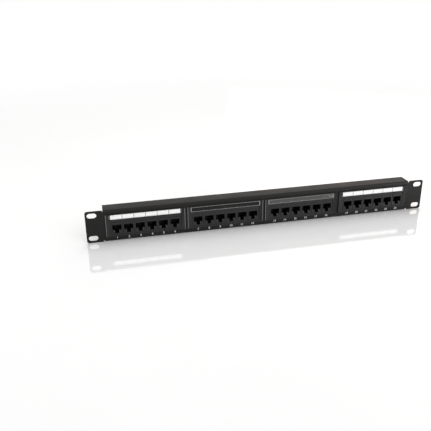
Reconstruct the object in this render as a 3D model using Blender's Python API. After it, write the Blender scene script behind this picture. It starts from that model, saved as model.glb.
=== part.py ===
"""Rack patch panel, one unit high, with four six-port jack modules and a rear cable bar.

Metres, +Z up. The front faces -Y, and the panel stands on z = 0 with its box centred on the origin.
Every piece is drawn from the panel's front face: local y is the depth behind that face.
"""
import math

import bmesh
import bpy

# Clearance kept between neighbouring pieces
CLEAR = 0.0003
# How far a cutter runs past the face that it opens
OVERRUN = 0.001

# Folded steel panel
PANEL_WIDTH = 0.4826
PANEL_HEIGHT = 0.0440
SHEET = 0.0015
BEND_RADIUS = 0.0020
RELIEF_WIDTH = 0.0020
FLANGE_DEPTH = 0.0200
CHEEK_RISE = 0.0005
EAR_LENGTH = 0.0215
EAR_RADIUS = 0.0030
RACK_SLOT_EDGE = 0.00875
RACK_SLOT_PITCH = 0.03175
RACK_SLOT_LENGTH = 0.0125
RACK_SLOT_HEIGHT = 0.0070

# Jack modules: bezel ends, and the gaps beside, above and below them
MODULE_COUNT = 4
MODULE_END_GAP = 0.0004
PORT_COUNT = 6
BEZEL_END = 0.0065
BEZEL_GAP = 0.00165
BEZEL_BOTTOM = 0.0064
BEZEL_TOP_GAP = 0.0060
BEZEL_THICK = 0.0012
BEZEL_RADIUS = 0.0008
BEZEL_CHAMFER = 0.0004
HOUSING_INSET = 0.0020
HOUSING_DEPTH = 0.0160
SNAP_RISE = 0.0012
SNAP_LENGTH = 0.0032
WINDOW_RADIUS = 0.0008

# Sockets
SOCKET_HALF = 0.0060
SOCKET_TOP = 0.0230
SOCKET_SHOULDER = 0.0150
SOCKET_CHAMFER = 0.0009
SOCKET_FLOOR = 0.0030
LATCH_HALF = 0.00275
LATCH_BOTTOM = 0.0110
LATCH_CHAMFER = 0.0006
FRAME_GAP = 0.0006
FRAME_MARGIN = 0.0015
FRAME_HEAD = 0.0031
FRAME_RADIUS = 0.0010
FRAME_DEPTH = 0.0005
WELL_EDGE = 0.0008
RAMP_DEPTH = 0.0022
RAMP_DROP = 0.0026
RAMP_SIDE_DROP = 0.0010

# Spring contacts and the sled that carries them, just under the sockets' top
CONTACTS_PER_PORT = 8
CONTACT_PITCH = 0.00102
CONTACT_WIDTH = 0.00042
CONTACT_THICK = 0.0004
CONTACT_REACH = 0.0062
CONTACT_TIP_GAP = 0.0005
SLED_SHOW = 0.0006
SLED_DROP = 0.0015
SLED_THICK = 0.0010
SLED_MARGIN = 0.0008

# Label recess, paper strip and clear cover
LABEL_HEIGHT = 0.0070
LABEL_RIM = 0.0010
RECESS_END = 0.0041
RECESS_DEPTH = 0.0016
COVER_THICK = 0.0008
COVER_RADIUS = 0.0006
COVER_RIM = 0.0005
COVER_RIM_END = 0.0011
COVER_RIM_RISE = 0.00025
TAB_WIDTH = 0.0014
TAB_HALF_HEIGHT = 0.0015
TAB_REACH = 0.0025
PAPER_THICK = 0.0002
PAPERED_MODULES = (1, MODULE_COUNT)

# Circuit boards, with their gaps to the next module and to the flanges, and their screws
BOARD_END_GAP = 0.00155
BOARD_FLANGE_GAP = 0.0006
BOARD_THICK = 0.0016
BOARD_RADIUS = 0.0010
SCREW_EDGE = 0.0045
SCREW_RADIUS = 0.0012
SCREW_REACH = 0.0070
HEAD_RADIUS = 0.0026
HEAD_RISE = 0.0019
HEAD_EDGE = 0.0007
CROWN_RADIUS = 0.0016
CROWN_DROP = 0.0002
SCREW_SIDES = 12

# Connector blocks on the rear, placed from the edges of their board
WIRE_COUNT = 24
WIRE_SLOT = 0.0015
BLOCK_EDGE = 0.0043
BLOCK_END = 0.00278
BLOCK_HEIGHT = 0.0062
BLOCK_LOW_EDGE = 0.0062
BLOCK_HIGH_EDGE = 0.0048
BLOCK_BASE = 0.0048
TOOTH_REACH = 0.0054
TOOTH_TIP = 0.0014
TOOTH_TIP_HEIGHT = 0.0036

# Wiring labels between the connector rows
WIRING_END = 0.0188
WIRING_LOW_GAP = 0.0005
WIRING_HIGH_GAP = 0.0041
WIRING_RADIUS = 0.0020
WIRING_THICK = 0.0004

# Cable bar behind the panel
BAR_DEPTH = 0.0850
BAR_SHEET = 0.0015
BAR_HEIGHT = 0.0090
BAR_BEND = 0.0080
ARM_FRONT = 0.0060
ARM_TOP = 0.0330
ARM_NOSE_RADIUS = 0.0050
ARM_SHOULDER_DEPTH = 0.0257
ARM_SHOULDER_RADIUS = 0.0125
ARM_SLOPE = math.radians(46.0)
PEG_INSET = 0.0050
PEG_RADIUS = 0.0020
PEG_HEIGHTS = (0.0070, 0.0180)
TIE_EDGE = 0.0100
TIE_PAIR_PITCH = 0.03175
TIE_PAIR_GAP = 0.0081
TIE_LENGTH = 0.0052
TIE_HEIGHT = 0.0026

# Facets of bends and arms, of rack slots, of small fillets, of screw holes and of pegs
ARC_STEPS = 4
SLOT_STEPS = 8
FILLET_STEPS = 2
HOLE_SIDES = 12
PEG_SIDES = 10
# Points closer than this are one point
MERGE = 0.00001
# A face looks along an axis when this much of its normal lies there
FACING = 0.9

# Widths that follow, from the ears in to the ports
RACK_SLOT_SPAN = PANEL_WIDTH - 2 * RACK_SLOT_EDGE
EAR_START = PANEL_WIDTH / 2 - EAR_LENGTH
FLANGE_HALF = EAR_START - RELIEF_WIDTH
ARM_OUTER = FLANGE_HALF + CLEAR + BAR_SHEET
MODULE_PITCH = 2 * (FLANGE_HALF - MODULE_END_GAP) / MODULE_COUNT
BEZEL_HALF = MODULE_PITCH / 2 - BEZEL_GAP
PORT_PITCH = 2 * (BEZEL_HALF - BEZEL_END) / PORT_COUNT
HOUSING_HALF = BEZEL_HALF - HOUSING_INSET
FRAME_HALF = PORT_PITCH / 2 - FRAME_GAP
WELL_HALF = PORT_COUNT * PORT_PITCH / 2 + FRAME_GAP
RECESS_HALF = BEZEL_HALF - RECESS_END
BOARD_HALF = MODULE_PITCH / 2 - BOARD_END_GAP
SCREW_OFFSET = BOARD_HALF - SCREW_EDGE
BLOCK_HALF = BOARD_HALF - BLOCK_EDGE
WIRE_PITCH = 2 * (BLOCK_HALF - BLOCK_END) / WIRE_COUNT
WIRING_HALF = BOARD_HALF - WIRING_END

# Heights that follow, from the panel's height
BEZEL_TOP = PANEL_HEIGHT - BEZEL_TOP_GAP
HOUSING_BOTTOM = BEZEL_BOTTOM + HOUSING_INSET
HOUSING_TOP = BEZEL_TOP - HOUSING_INSET
LABEL_TOP = BEZEL_TOP - LABEL_RIM
LABEL_BOTTOM = LABEL_TOP - LABEL_HEIGHT
FRAME_BOTTOM = LATCH_BOTTOM - FRAME_MARGIN
FRAME_TOP = SOCKET_TOP + FRAME_HEAD
SLED_BOTTOM = SOCKET_TOP - SLED_DROP
BOARD_BOTTOM = SHEET + BOARD_FLANGE_GAP
BOARD_TOP = PANEL_HEIGHT - SHEET - BOARD_FLANGE_GAP
SCREW_HEIGHT = PANEL_HEIGHT / 2
BLOCK_LOW = BOARD_BOTTOM + BLOCK_LOW_EDGE
BLOCK_HIGH = BOARD_TOP - BLOCK_HIGH_EDGE
WIRING_BOTTOM = BLOCK_LOW + BLOCK_HEIGHT / 2 + WIRING_LOW_GAP
WIRING_TOP = BLOCK_HIGH - BLOCK_HEIGHT / 2 - WIRING_HIGH_GAP

# Depths that follow, from the bezel's front back to the bar
BEZEL_FRONT = -CLEAR - BEZEL_THICK
RECESS_FLOOR = BEZEL_FRONT + RECESS_DEPTH
SOCKET_DEPTH = HOUSING_DEPTH - SOCKET_FLOOR
SLED_FRONT = SOCKET_DEPTH - SLED_SHOW
SLED_BACK = HOUSING_DEPTH - CLEAR
CONTACT_TIP_DEPTH = SLED_FRONT - CONTACT_REACH
BOARD_FRONT = HOUSING_DEPTH + CLEAR
BOARD_BACK = BOARD_FRONT + BOARD_THICK
REAR_SEAT = BOARD_BACK + CLEAR
PEG_DEPTH = FLANGE_DEPTH - PEG_INSET
FACE_Y = -(BEZEL_FRONT + BAR_DEPTH) / 2

# Other values that follow: the screws' bores, the pairs of tie slots that fit and the patterns' centres
SCREW_HOLE = SCREW_RADIUS + CLEAR
TIE_HALF_SPAN = ARM_OUTER - BAR_BEND - TIE_EDGE - (TIE_PAIR_GAP + TIE_LENGTH) / 2
TIE_PAIRS = 1 + int(2 * TIE_HALF_SPAN / TIE_PAIR_PITCH)
MODULE_CENTRES = [(i - (MODULE_COUNT - 1) / 2) * MODULE_PITCH for i in range(MODULE_COUNT)]
PORT_CENTRES = [(i - (PORT_COUNT - 1) / 2) * PORT_PITCH for i in range(PORT_COUNT)]

# The two axes of an outline and the axis that it is carried along
OUTLINE_AXES = {"x": (1, 2, 0), "y": (0, 2, 1), "z": (0, 1, 2)}


def clear_scene():
    """Remove whatever the scene holds."""
    for obj in list(bpy.data.objects):
        bpy.data.objects.remove(obj, do_unlink=True)


def make_material(name, colour, roughness, metallic=0.0, alpha=1.0):
    """One Principled finish."""
    material = bpy.data.materials.new(name)
    material.use_nodes = True
    shader = material.node_tree.nodes["Principled BSDF"]
    shader.inputs["Base Color"].default_value = (*colour, 1.0)
    shader.inputs["Roughness"].default_value = roughness
    shader.inputs["Metallic"].default_value = metallic
    shader.inputs["Alpha"].default_value = alpha
    material.diffuse_color = (*colour, alpha)
    return material


def make_empty(name, location, parent=None):
    """A datum that pieces are drawn from."""
    empty = bpy.data.objects.new(name, None)
    empty.location = location
    empty.parent = parent
    bpy.context.collection.objects.link(empty)
    return empty


def add_object(name, bm, parent, material=None):
    """Turn a mesh under construction into an object with its faces pointing out."""
    bmesh.ops.recalc_face_normals(bm, faces=bm.faces)
    mesh = bpy.data.meshes.new(name)
    bm.to_mesh(mesh)
    bm.free()
    if material is not None:
        mesh.materials.append(material)
    obj = bpy.data.objects.new(name, mesh)
    obj.parent = parent
    bpy.context.collection.objects.link(obj)
    return obj


def combine(target, bm, operation, label):
    """Cut a hidden tool from a piece, or join it on, with an exact Boolean."""
    tool = add_object(f"{target.name}_{label}", bm, target.parent)
    tool.hide_render = True
    tool.display_type = "WIRE"
    modifier = target.modifiers.new(label, "BOOLEAN")
    modifier.operation = operation
    modifier.solver = "EXACT"
    modifier.object = tool


def thicken(target, thickness):
    """Give a bent sheet its thickness on the inner side."""
    modifier = target.modifiers.new("sheet", "SOLIDIFY")
    modifier.thickness = thickness
    modifier.offset = -1.0
    modifier.use_even_offset = True


def shade_round(obj):
    """Smooth the round faces of a piece and keep its edges crisp."""
    obj.data.shade_smooth()
    obj.data.set_sharp_from_angle(angle=math.radians(35.0))


def arc(centre, radius, start, end, steps=ARC_STEPS):
    """Points of a circular arc in an outline's plane."""
    angles = [start + (end - start) * i / steps for i in range(steps + 1)]
    return [(centre[0] + radius * math.cos(a), centre[1] + radius * math.sin(a)) for a in angles]


def rounded_rectangle(left, bottom, right, top, radius):
    """Outline of a rectangle with round corners."""
    quarter = math.pi / 2
    corners = [(right - radius, top - radius), (left + radius, top - radius),
               (left + radius, bottom + radius), (right - radius, bottom + radius)]
    outline = []
    for turn, corner in enumerate(corners):
        outline += arc(corner, radius, turn * quarter, (turn + 1) * quarter, FILLET_STEPS)
    return outline


def slot_outline(centre, length, height, steps):
    """Outline of a slot with half-round ends, along the first axis."""
    radius = height / 2
    reach = length / 2 - radius
    quarter = math.pi / 2
    right = arc((centre[0] + reach, centre[1]), radius, -quarter, quarter, steps)
    left = arc((centre[0] - reach, centre[1]), radius, quarter, 3 * quarter, steps)
    return right + left


def circle(centre, radius, sides):
    """Outline of a round hole or peg."""
    return arc(centre, radius, 0.0, 2 * math.pi, sides)[:-1]


def prism(bm, outline, axis, low, high):
    """Add a closed prism: an outline carried along an axis from low to high."""
    first, second, along = OUTLINE_AXES[axis]
    rings = []
    for level in (low, high):
        ring = []
        for a, b in outline:
            point = [0.0, 0.0, 0.0]
            point[first], point[second], point[along] = a, b, level
            ring.append(bm.verts.new(point))
        rings.append(ring)
        bm.faces.new(ring)
    count = len(outline)
    for i in range(count):
        j = (i + 1) % count
        bm.faces.new((rings[0][i], rings[0][j], rings[1][j], rings[1][i]))


def block(bm, low, high):
    """Add a closed box between two corners."""
    outline = [(low[0], low[1]), (high[0], low[1]), (high[0], high[1]), (low[0], high[1])]
    prism(bm, outline, "z", low[2], high[2])


def comb(bm, teeth, half, base, tip, root_height, tip_height):
    """Add a comb: a bar from which tapered teeth stand out along y.

    teeth holds (root left, root right, tip left, tip right) for each tooth, from left to right.
    base and tip give the bar's two faces and the teeth's ends in y, and the heights are (low, high).
    """
    back, root = base

    def pair(x, y, height):
        return [bm.verts.new((x, y, z)) for z in height]

    ends = [pair(-half, back, root_height), pair(half, back, root_height)]
    left_end = pair(-half, root, root_height) if teeth[0][0] > -half else None
    right_end = pair(half, root, root_height) if teeth[-1][1] < half else None
    edge = [left_end] if left_end else []
    for root_left, root_right, tip_left, tip_right in teeth:
        a = pair(root_left, root, root_height)
        b = pair(tip_left, tip, tip_height)
        c = pair(tip_right, tip, tip_height)
        d = pair(root_right, root, root_height)
        for near, far in ((a, b), (b, c), (c, d)):
            bm.faces.new((near[0], far[0], far[1], near[1]))
        for level in (0, 1):
            bm.faces.new((a[level], b[level], c[level], d[level]))
        edge += [a, d]
    edge += [right_end] if right_end else []
    gaps = edge if left_end else edge[1:-1]
    for near, far in zip(gaps[0::2], gaps[1::2]):
        bm.faces.new((near[0], far[0], far[1], near[1]))
    for level in (0, 1):
        bm.faces.new([ends[0][level]] + [post[level] for post in edge] + [ends[1][level]])
    for near, far in ((ends[0], edge[0]), (edge[-1], ends[1]), (ends[1], ends[0])):
        bm.faces.new((near[0], far[0], far[1], near[1]))


def folded_sheet():
    """Outer skin of the panel: plate with ears, two bends, two flanges and two end cheeks."""
    bm = bmesh.new()
    low, high = BEND_RADIUS, PANEL_HEIGHT - BEND_RADIUS
    quarter = math.pi / 2
    inner = {}
    for side in (-1, 1):
        x = side * FLANGE_HALF
        ear_x = side * EAR_START
        tip_x = side * (PANEL_WIDTH / 2 - EAR_RADIUS)
        start = 0.0 if side > 0 else math.pi
        upper = arc((tip_x, PANEL_HEIGHT - EAR_RADIUS), EAR_RADIUS, start + side * quarter, start)
        lower = arc((tip_x, EAR_RADIUS), EAR_RADIUS, start, start - side * quarter)
        outer = [bm.verts.new((px, 0.0, pz)) for px, pz in upper + lower]
        step = [bm.verts.new((ear_x, 0.0, z)) for z in (0.0, low, high, PANEL_HEIGHT)]
        bm.faces.new(outer + step)
        top = arc((BEND_RADIUS, high), BEND_RADIUS, math.pi, quarter) + [(FLANGE_DEPTH, PANEL_HEIGHT)]
        bottom = arc((BEND_RADIUS, low), BEND_RADIUS, math.pi, 3 * quarter) + [(FLANGE_DEPTH, 0.0)]
        rails = [[bm.verts.new((x, y, z)) for y, z in run] for run in (bottom, top)]
        bm.faces.new((step[1], rails[0][0], rails[1][0], step[2]))
        cheek_low = SHEET + CHEEK_RISE
        foot = [bm.verts.new((x, y, cheek_low)) for y in (FLANGE_DEPTH, BEND_RADIUS)]
        bm.faces.new((rails[1][-2], rails[1][-1], foot[0], foot[1]))
        inner[side] = rails
    bm.faces.new((inner[-1][0][0], inner[1][0][0], inner[1][1][0], inner[-1][1][0]))
    for left, right in zip(inner[-1], inner[1]):
        for i in range(len(left) - 1):
            bm.faces.new((left[i], right[i], right[i + 1], left[i + 1]))
    return bm


def face_outwards(obj):
    """Turn a sheet's faces so that the plate looks forward, away from the modules."""
    front = max(obj.data.polygons, key=lambda face: face.area)
    if front.normal.y > 0.0:
        obj.data.flip_normals()


def make_front_panel(parent, material):
    """Folded panel with its rack slots, module windows and the open notches for the bar's pegs."""
    panel = add_object("front_panel", folded_sheet(), parent, material)
    face_outwards(panel)
    thicken(panel, SHEET)
    bm = bmesh.new()
    for x in (-RACK_SLOT_SPAN / 2, RACK_SLOT_SPAN / 2):
        for z in (-RACK_SLOT_PITCH / 2, RACK_SLOT_PITCH / 2):
            centre = (x, PANEL_HEIGHT / 2 + z)
            outline = slot_outline(centre, RACK_SLOT_LENGTH, RACK_SLOT_HEIGHT, SLOT_STEPS)
            prism(bm, outline, "y", -OVERRUN, SHEET + OVERRUN)
    for x in MODULE_CENTRES:
        outline = rounded_rectangle(x - HOUSING_HALF - CLEAR, HOUSING_BOTTOM - CLEAR,
                                    x + HOUSING_HALF + CLEAR, HOUSING_TOP + CLEAR, WINDOW_RADIUS)
        prism(bm, outline, "y", -OVERRUN, SHEET + OVERRUN)
    notch_radius = PEG_RADIUS + CLEAR
    notch_start = PEG_DEPTH - notch_radius
    notch_end = FLANGE_DEPTH + notch_radius + OVERRUN
    for side in (-1, 1):
        walls = sorted((side * (FLANGE_HALF - SHEET - OVERRUN), side * (FLANGE_HALF + OVERRUN)))
        for z in PEG_HEIGHTS:
            centre = ((notch_start + notch_end) / 2, z)
            outline = slot_outline(centre, notch_end - notch_start, 2 * notch_radius, ARC_STEPS)
            prism(bm, outline, "x", *walls)
    combine(panel, bm, "DIFFERENCE", "openings")
    return panel


def arm_columns():
    """Depth and top edge of a bar arm, from its nose back to the plain strip."""
    quarter = math.pi / 2
    nose = arc((ARM_FRONT + ARM_NOSE_RADIUS, ARM_TOP - ARM_NOSE_RADIUS), ARM_NOSE_RADIUS,
               math.pi, quarter)
    shoulder = arc((ARM_SHOULDER_DEPTH, ARM_TOP - ARM_SHOULDER_RADIUS), ARM_SHOULDER_RADIUS,
                   quarter, quarter - ARM_SLOPE)
    last_depth, last_top = shoulder[-1]
    strip_start = last_depth + (last_top - BAR_HEIGHT) / math.tan(ARM_SLOPE)
    return nose + shoulder + [(strip_start, BAR_HEIGHT)]


def bar_columns():
    """Plan position and top edge of each upright line of the bent strip, from left to right."""
    half = ARM_OUTER
    left = [(-half, depth, top) for depth, top in arm_columns()]
    corner_y = BAR_DEPTH - BAR_BEND
    corner = arc((-half + BAR_BEND, corner_y), BAR_BEND, math.pi, math.pi / 2)
    left += [(x, y, BAR_HEIGHT) for x, y in corner]
    right = [(-x, y, top) for x, y, top in reversed(left)]
    return left + right


def make_cable_bar(parent, material):
    """Bent strip with broad arms, pegs that sit in the cheeks' notches and pairs of tie slots."""
    bm = bmesh.new()
    posts = [[bm.verts.new((x, y, z)) for z in (0.0, top)] for x, y, top in bar_columns()]
    for near, far in zip(posts, posts[1:]):
        bm.faces.new((near[0], far[0], far[1], near[1]))
    bar = add_object("cable_bar", bm, parent, material)
    rear = max(bar.data.polygons, key=lambda face: face.area if abs(face.normal.y) > FACING else 0.0)
    if rear.normal.y < 0.0:
        bar.data.flip_normals()
    thicken(bar, BAR_SHEET)
    pegs = bmesh.new()
    for side in (-1, 1):
        ends = sorted((side * (FLANGE_HALF - SHEET), side * (FLANGE_HALF + CLEAR + BAR_SHEET / 2)))
        for z in PEG_HEIGHTS:
            prism(pegs, circle((PEG_DEPTH, z), PEG_RADIUS, PEG_SIDES), "x", *ends)
    combine(bar, pegs, "UNION", "pegs")
    slots = bmesh.new()
    for pair in range(TIE_PAIRS):
        centre = (pair - (TIE_PAIRS - 1) / 2) * TIE_PAIR_PITCH
        for offset in (-TIE_PAIR_GAP / 2, TIE_PAIR_GAP / 2):
            middle = (centre + offset, BAR_HEIGHT / 2)
            outline = slot_outline(middle, TIE_LENGTH, TIE_HEIGHT, FILLET_STEPS + 1)
            prism(slots, outline, "y", BAR_DEPTH - BAR_SHEET - OVERRUN, BAR_DEPTH + OVERRUN)
    combine(bar, slots, "DIFFERENCE", "tie_slots")
    return bar


def socket_outline(centre):
    """Outline of one socket: a plug space with a latch channel below it."""
    half = [(SOCKET_HALF, SOCKET_TOP), (SOCKET_HALF, SOCKET_SHOULDER + SOCKET_CHAMFER),
            (SOCKET_HALF - SOCKET_CHAMFER, SOCKET_SHOULDER), (LATCH_HALF, SOCKET_SHOULDER),
            (LATCH_HALF, LATCH_BOTTOM + LATCH_CHAMFER), (LATCH_HALF - LATCH_CHAMFER, LATCH_BOTTOM)]
    mirrored = [(-x, z) for x, z in reversed(half)]
    return [(centre + x, z) for x, z in half + mirrored]


def lead_in_ramp(bm, centre, side):
    """Add the wedge that cuts a socket's lead-in, from its shoulder down to the mouth.

    It drops least at the socket's side and most beside the latch.
    """
    back, front = BEZEL_FRONT + RAMP_DEPTH, BEZEL_FRONT - OVERRUN
    top = SOCKET_SHOULDER + CLEAR
    run = (back - front) / RAMP_DEPTH
    ends = []
    for x, drop in ((SOCKET_HALF - SOCKET_CHAMFER, RAMP_SIDE_DROP), (LATCH_HALF - CLEAR, RAMP_DROP)):
        profile = [(back, SOCKET_SHOULDER), (front, SOCKET_SHOULDER - run * drop), (front, top), (back, top)]
        ends.append([bm.verts.new((centre + side * x, y, z)) for y, z in profile])
        bm.faces.new(ends[-1])
    outer, inner = ends
    bm.faces.new((outer[0], outer[1], inner[0]))
    bm.faces.new((outer[1], inner[1], inner[0]))
    for i, j in ((1, 2), (2, 3), (3, 0)):
        bm.faces.new((outer[i], outer[j], inner[j], inner[i]))


def housing_profile():
    """Side view of the housing behind the bezel, with its snap ribs above and below."""
    front = BEZEL_FRONT + BEZEL_THICK / 2
    rib = SHEET + CLEAR
    rib_end = rib + SNAP_LENGTH
    return [(front, HOUSING_BOTTOM), (rib, HOUSING_BOTTOM), (rib, HOUSING_BOTTOM - SNAP_RISE),
            (rib_end, HOUSING_BOTTOM), (HOUSING_DEPTH, HOUSING_BOTTOM), (HOUSING_DEPTH, HOUSING_TOP),
            (rib_end, HOUSING_TOP), (rib, HOUSING_TOP + SNAP_RISE), (rib, HOUSING_TOP),
            (front, HOUSING_TOP)]


def bezel_plate():
    """Raised bezel with round corners and a chamfered front edge."""
    bm = bmesh.new()
    outline = rounded_rectangle(-BEZEL_HALF, BEZEL_BOTTOM, BEZEL_HALF, BEZEL_TOP, BEZEL_RADIUS)
    prism(bm, outline, "y", BEZEL_FRONT, -CLEAR)
    middle = (BEZEL_FRONT - CLEAR) / 2
    rim = [edge for edge in bm.edges if all(vert.co.y < middle for vert in edge.verts)]
    bmesh.ops.bevel(bm, geom=rim, offset=BEZEL_CHAMFER, segments=1, affect="EDGES")
    return bm


def sled_half():
    """Half length of the sled that carries a module's contacts."""
    return PORT_CENTRES[-1] + (CONTACTS_PER_PORT - 1) / 2 * CONTACT_PITCH + CONTACT_WIDTH / 2 + SLED_MARGIN


def make_jack_housing(number, parent, material):
    """Moulded housing: bezel, six sockets, label recess, contact slot and screw holes."""
    housing = add_object(f"jack_housing_{number}", bezel_plate(), parent, material)
    body = bmesh.new()
    prism(body, housing_profile(), "x", -HOUSING_HALF, HOUSING_HALF)
    combine(housing, body, "UNION", "body")

    shallow = bmesh.new()
    frame_floor = BEZEL_FRONT + FRAME_DEPTH
    block(shallow, (-WELL_HALF, BEZEL_FRONT - OVERRUN, FRAME_BOTTOM - WELL_EDGE),
          (WELL_HALF, frame_floor, LABEL_BOTTOM - WELL_EDGE))
    label_middle = (LABEL_BOTTOM + LABEL_TOP) / 2
    pocket_half = TAB_HALF_HEIGHT + CLEAR
    pocket_back = BEZEL_FRONT + COVER_THICK + TAB_REACH + CLEAR
    for side in (-1, 1):
        ends = sorted((side * RECESS_HALF, side * (RECESS_HALF - TAB_WIDTH - 2 * CLEAR)))
        block(shallow, (ends[0], BEZEL_FRONT - OVERRUN, label_middle - pocket_half),
              (ends[1], pocket_back, label_middle + pocket_half))
        hole = circle((side * SCREW_OFFSET, SCREW_HEIGHT), SCREW_HOLE, HOLE_SIDES)
        prism(shallow, hole, "y", HOUSING_DEPTH - SCREW_REACH - CLEAR, HOUSING_DEPTH + OVERRUN)
    combine(housing, shallow, "DIFFERENCE", "well")

    frames = bmesh.new()
    for x in PORT_CENTRES:
        outline = rounded_rectangle(x - FRAME_HALF, FRAME_BOTTOM, x + FRAME_HALF, FRAME_TOP, FRAME_RADIUS)
        prism(frames, outline, "y", BEZEL_FRONT, frame_floor + FRAME_DEPTH)
    combine(housing, frames, "UNION", "frames")

    deep = bmesh.new()
    for x in PORT_CENTRES:
        prism(deep, socket_outline(x), "y", BEZEL_FRONT - OVERRUN, SOCKET_DEPTH)
    block(deep, (-RECESS_HALF, BEZEL_FRONT - OVERRUN, LABEL_BOTTOM), (RECESS_HALF, RECESS_FLOOR, LABEL_TOP))
    combine(housing, deep, "DIFFERENCE", "sockets")

    ramps = bmesh.new()
    for x in PORT_CENTRES:
        for side in (-1, 1):
            lead_in_ramp(ramps, x, side)
    combine(housing, ramps, "DIFFERENCE", "ramps")

    slot = bmesh.new()
    reach = sled_half() + CLEAR
    block(slot, (-reach, SLED_FRONT - CLEAR, SLED_BOTTOM - CLEAR),
          (reach, HOUSING_DEPTH + OVERRUN, SLED_BOTTOM + SLED_THICK + CLEAR))
    combine(housing, slot, "DIFFERENCE", "contact_slot")
    return housing


def make_contact_set(number, parent, material):
    """Contact sled: a bar behind the sockets from which sprung contacts rise towards the mouths."""
    half_width = CONTACT_WIDTH / 2
    teeth = []
    for port in PORT_CENTRES:
        for i in range(CONTACTS_PER_PORT):
            x = port + (i - (CONTACTS_PER_PORT - 1) / 2) * CONTACT_PITCH
            teeth.append((x - half_width, x + half_width, x - half_width, x + half_width))
    tip_top = SOCKET_TOP - CONTACT_TIP_GAP
    bm = bmesh.new()
    comb(bm, teeth, sled_half(), (SLED_BACK, SLED_FRONT), CONTACT_TIP_DEPTH,
         (SLED_BOTTOM, SLED_BOTTOM + SLED_THICK), (tip_top - CONTACT_THICK, tip_top))
    return add_object(f"contact_set_{number}", bm, parent, material)


def make_label_cover(number, parent, material):
    """Clear cover flush with the bezel: a thin window in a raised rim, with a snap tab at each end.

    Its datum lies in the middle of its front face, on the line that it pulls out along.
    """
    middle = (LABEL_BOTTOM + LABEL_TOP) / 2
    datum = make_empty(f"label_cover_{number}_datum", (0.0, BEZEL_FRONT, middle), parent)
    half = RECESS_HALF - CLEAR
    rise = (LABEL_TOP - LABEL_BOTTOM) / 2 - CLEAR
    bm = bmesh.new()
    prism(bm, rounded_rectangle(-half, -rise, half, rise, COVER_RADIUS), "y", 0.0, COVER_THICK)
    cover = add_object(f"label_cover_{number}", bm, datum, material)
    tabs = bmesh.new()
    for side in (-1, 1):
        ends = sorted((side * half, side * (half - TAB_WIDTH)))
        block(tabs, (ends[0], COVER_THICK / 2, -TAB_HALF_HEIGHT),
              (ends[1], COVER_THICK + TAB_REACH, TAB_HALF_HEIGHT))
    combine(cover, tabs, "UNION", "tabs")
    window = bmesh.new()
    block(window, (COVER_RIM_END - half, -OVERRUN, COVER_RIM - rise),
          (half - COVER_RIM_END, COVER_RIM_RISE, rise - COVER_RIM))
    combine(cover, window, "DIFFERENCE", "window")
    return cover


def make_paper_label(number, parent, material):
    """Paper strip that lies in the recess behind the cover."""
    half = RECESS_HALF - TAB_WIDTH - 3 * CLEAR
    bm = bmesh.new()
    back = RECESS_FLOOR - CLEAR
    block(bm, (-half, back - PAPER_THICK, LABEL_BOTTOM + CLEAR), (half, back, LABEL_TOP - CLEAR))
    return add_object(f"paper_label_{number}", bm, parent, material)


def make_circuit_board(number, parent, material):
    """Board behind the housing, with a hole for the screw at each end."""
    bm = bmesh.new()
    outline = rounded_rectangle(-BOARD_HALF, BOARD_BOTTOM, BOARD_HALF, BOARD_TOP, BOARD_RADIUS)
    prism(bm, outline, "y", BOARD_FRONT, BOARD_BACK)
    board = add_object(f"circuit_board_{number}", bm, parent, material)
    holes = bmesh.new()
    for side in (-1, 1):
        outline = circle((side * SCREW_OFFSET, SCREW_HEIGHT), SCREW_HOLE, HOLE_SIDES)
        prism(holes, outline, "y", BOARD_FRONT - OVERRUN, BOARD_BACK + OVERRUN)
    combine(board, holes, "DIFFERENCE", "screw_holes")
    return board


def make_module_screw(name, x, parent, material):
    """Pan-head screw from the rear, through the board into the housing."""
    head = REAR_SEAT
    profile = [(0.0, head + HEAD_RISE), (CROWN_RADIUS, head + HEAD_RISE - CROWN_DROP),
               (HEAD_RADIUS, head + HEAD_EDGE), (HEAD_RADIUS, head),
               (SCREW_RADIUS, head), (SCREW_RADIUS, HOUSING_DEPTH - SCREW_REACH + SCREW_RADIUS),
               (0.0, HOUSING_DEPTH - SCREW_REACH)]
    bm = bmesh.new()
    line = [bm.verts.new((radius, y, 0.0)) for radius, y in profile]
    edges = [bm.edges.new(pair) for pair in zip(line, line[1:])]
    bmesh.ops.spin(bm, geom=line + edges, cent=(0, 0, 0), axis=(0, 1, 0), angle=2 * math.pi,
                   steps=SCREW_SIDES, use_merge=True)
    bmesh.ops.remove_doubles(bm, verts=bm.verts, dist=MERGE)
    screw = add_object(name, bm, parent, material)
    screw.location = (x, 0.0, SCREW_HEIGHT)
    shade_round(screw)
    return screw


def make_connector_block(name, height, parent, material):
    """Connector block: a bar of tapered teeth with a wire slot between each two."""
    root = (WIRE_PITCH - WIRE_SLOT) / 2
    tip = TOOTH_TIP / 2
    teeth = []
    for i in range(WIRE_COUNT + 1):
        x = (i - WIRE_COUNT / 2) * WIRE_PITCH
        left, right = x - root, x + root
        if i == 0:
            left = -BLOCK_HALF
        if i == WIRE_COUNT:
            right = BLOCK_HALF
        teeth.append((left, right, (left + right) / 2 - tip, (left + right) / 2 + tip))
    back = REAR_SEAT + BLOCK_BASE
    bm = bmesh.new()
    comb(bm, teeth, BLOCK_HALF, (REAR_SEAT, back), back + TOOTH_REACH,
         (height - BLOCK_HEIGHT / 2, height + BLOCK_HEIGHT / 2),
         (height - TOOTH_TIP_HEIGHT / 2, height + TOOTH_TIP_HEIGHT / 2))
    return add_object(name, bm, parent, material)


def make_wiring_label(number, parent, material):
    """Label plate on the board, between the two connector rows."""
    bm = bmesh.new()
    outline = rounded_rectangle(-WIRING_HALF, WIRING_BOTTOM, WIRING_HALF, WIRING_TOP, WIRING_RADIUS)
    prism(bm, outline, "y", REAR_SEAT, REAR_SEAT + WIRING_THICK)
    return add_object(f"wiring_label_{number}", bm, parent, material)


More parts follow.
